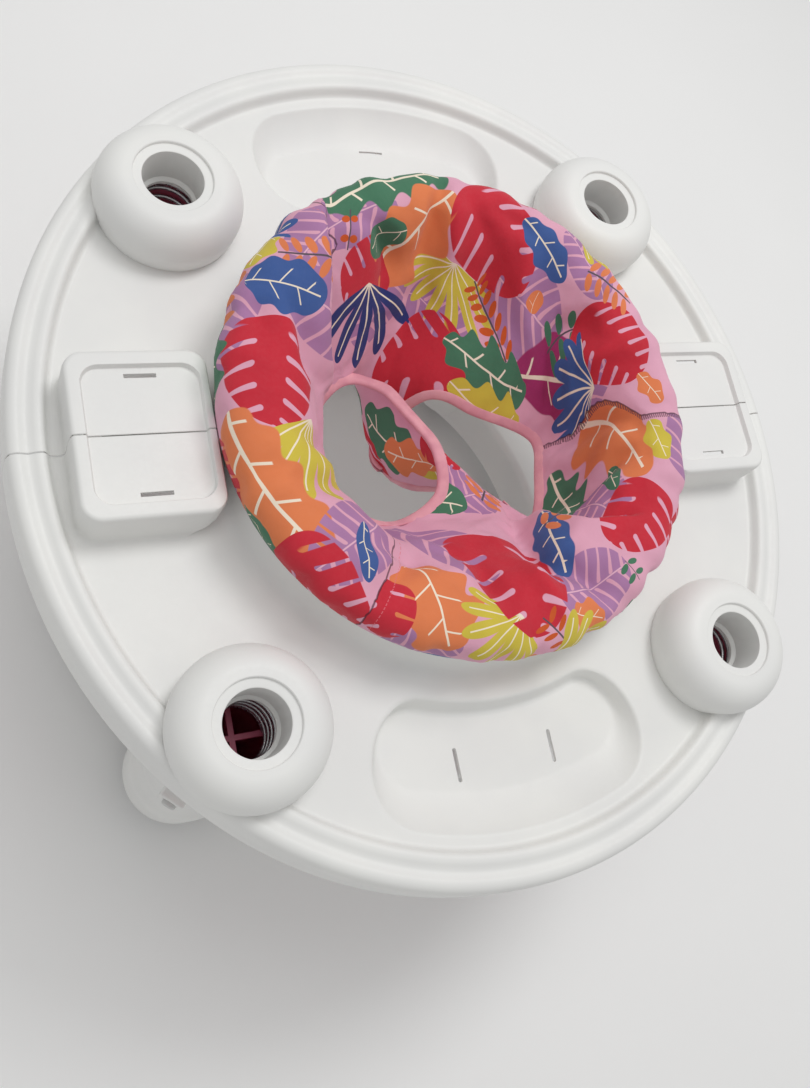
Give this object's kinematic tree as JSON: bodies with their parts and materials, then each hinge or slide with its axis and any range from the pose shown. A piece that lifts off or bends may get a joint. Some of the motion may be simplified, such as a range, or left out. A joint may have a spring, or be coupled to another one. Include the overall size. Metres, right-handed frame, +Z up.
{
  "type": "baby walker",
  "caption": "Round baby walker with a white two-half tray on sprung legs, a swivelling printed fabric seat and a base ring on swivel casters.",
  "frame": {"origin": "on the floor under the centre of the tray, with the wheels resting on it", "axes": "+Z up, +Y to the rear of the tray, +X to the walker's right half, along the seam between the tray's halves"},
  "size_m": [0.726, 0.7768, 0.4815],
  "materials": {
    "white_plastic": "fine matte grain",
    "pink_plastic": "satin",
    "printed_fabric": "printed woven polyester, padded",
    "steel": "bright drawn wire",
    "caster_plastic": "satin",
    "rubber": "matte"
  },
  "bodies": {
    "base": {"base_ring": "white_plastic", "leg_sleeve_front_left": "white_plastic", "leg_sleeve_front_right": "white_plastic", "leg_sleeve_rear_left": "white_plastic", "leg_sleeve_rear_right": "white_plastic", "step_stop_front": "rubber", "step_stop_rear": "rubber", "step_stop_left": "rubber", "step_stop_right": "rubber"},
    "legs": {"leg_post_front_left": "pink_plastic", "leg_post_front_right": "pink_plastic", "leg_post_rear_left": "pink_plastic", "leg_post_rear_right": "pink_plastic", "spring_front_left": "steel", "spring_front_right": "steel", "spring_rear_left": "steel", "spring_rear_right": "steel"},
    "tray": {"tray_front": "white_plastic", "tray_rear": "white_plastic", "dome_front_left": "white_plastic", "dome_front_right": "white_plastic", "dome_rear_left": "white_plastic", "dome_rear_right": "white_plastic", "seam_plate_left": "white_plastic", "seam_plate_right": "white_plastic", "seam_screw_left_front": "steel", "seam_screw_left_rear": "steel", "seam_screw_right_front": "steel", "seam_screw_right_rear": "steel"},
    "seat": {"seat_ring": "white_plastic", "seat_fabric": "printed_fabric"},
    "button_front_left": {"height_button_front_left": "caster_plastic"},
    "caster_front_left": {"caster_fork_front_left": "caster_plastic", "axle_front_left": "steel"},
    "wheel_front_left": {"wheel_front_left": "rubber"},
    "button_front_right": {"height_button_front_right": "caster_plastic"},
    "caster_front_right": {"caster_fork_front_right": "caster_plastic", "axle_front_right": "steel"},
    "wheel_front_right": {"wheel_front_right": "rubber"},
    "button_rear_left": {"height_button_rear_left": "caster_plastic"},
    "caster_rear_left": {"caster_fork_rear_left": "caster_plastic", "axle_rear_left": "steel"},
    "wheel_rear_left": {"wheel_rear_left": "rubber"},
    "button_rear_right": {"height_button_rear_right": "caster_plastic"},
    "caster_rear_right": {"caster_fork_rear_right": "caster_plastic", "axle_rear_right": "steel"},
    "wheel_rear_right": {"wheel_rear_right": "rubber"}
  },
  "joints": [
    {"name": "height_adjust", "type": "slide", "parent": "base", "child": "legs", "axis": [0, 0, 1], "range_m": [0, 0.06]},
    {"name": "tray_bounce", "type": "slide", "parent": "legs", "child": "tray", "axis": [0, 0, -1], "range_m": [0, 0.03], "stiffness_N_per_m": 3200, "springref_m": -0.022, "deforming": ["spring_front_left", "spring_front_right", "spring_rear_left", "spring_rear_right"]},
    {"name": "seat_swivel", "type": "hinge", "parent": "tray", "child": "seat", "pos_m": [0, 0, 0.427], "axis": [0, 0, 1], "continuous": true},
    {"name": "button_front_left_press", "type": "slide", "parent": "base", "child": "button_front_left", "axis": [0.6926, 0.7213, 0], "range_m": [0, 0.0035], "stiffness_N_per_m": 300, "springref_m": -0.002},
    {"name": "caster_front_left_swivel", "type": "hinge", "parent": "base", "child": "caster_front_left", "pos_m": [-0.217, -0.226, 0.05], "axis": [0, 0, 1], "continuous": true},
    {"name": "wheel_front_left_spin", "type": "hinge", "parent": "caster_front_left", "child": "wheel_front_left", "pos_m": [-0.217, -0.238, 0.022], "axis": [1, 0, 0], "continuous": true},
    {"name": "button_front_right_press", "type": "slide", "parent": "base", "child": "button_front_right", "axis": [-0.6926, 0.7213, 0], "range_m": [0, 0.0035], "stiffness_N_per_m": 300, "springref_m": -0.002},
    {"name": "caster_front_right_swivel", "type": "hinge", "parent": "base", "child": "caster_front_right", "pos_m": [0.217, -0.226, 0.05], "axis": [0, 0, 1], "continuous": true},
    {"name": "wheel_front_right_spin", "type": "hinge", "parent": "caster_front_right", "child": "wheel_front_right", "pos_m": [0.217, -0.238, 0.022], "axis": [1, 0, 0], "continuous": true},
    {"name": "button_rear_left_press", "type": "slide", "parent": "base", "child": "button_rear_left", "axis": [0.6972, -0.7169, 0], "range_m": [0, 0.0035], "stiffness_N_per_m": 300, "springref_m": -0.002},
    {"name": "caster_rear_left_swivel", "type": "hinge", "parent": "base", "child": "caster_rear_left", "pos_m": [-0.212, 0.218, 0.05], "axis": [0, 0, 1], "continuous": true},
    {"name": "wheel_rear_left_spin", "type": "hinge", "parent": "caster_rear_left", "child": "wheel_rear_left", "pos_m": [-0.212, 0.206, 0.022], "axis": [1, 0, 0], "continuous": true},
    {"name": "button_rear_right_press", "type": "slide", "parent": "base", "child": "button_rear_right", "axis": [-0.6972, -0.7169, 0], "range_m": [0, 0.0035], "stiffness_N_per_m": 300, "springref_m": -0.002},
    {"name": "caster_rear_right_swivel", "type": "hinge", "parent": "base", "child": "caster_rear_right", "pos_m": [0.212, 0.218, 0.05], "axis": [0, 0, 1], "continuous": true},
    {"name": "wheel_rear_right_spin", "type": "hinge", "parent": "caster_rear_right", "child": "wheel_rear_right", "pos_m": [0.212, 0.206, 0.022], "axis": [1, 0, 0], "continuous": true}
  ]
}
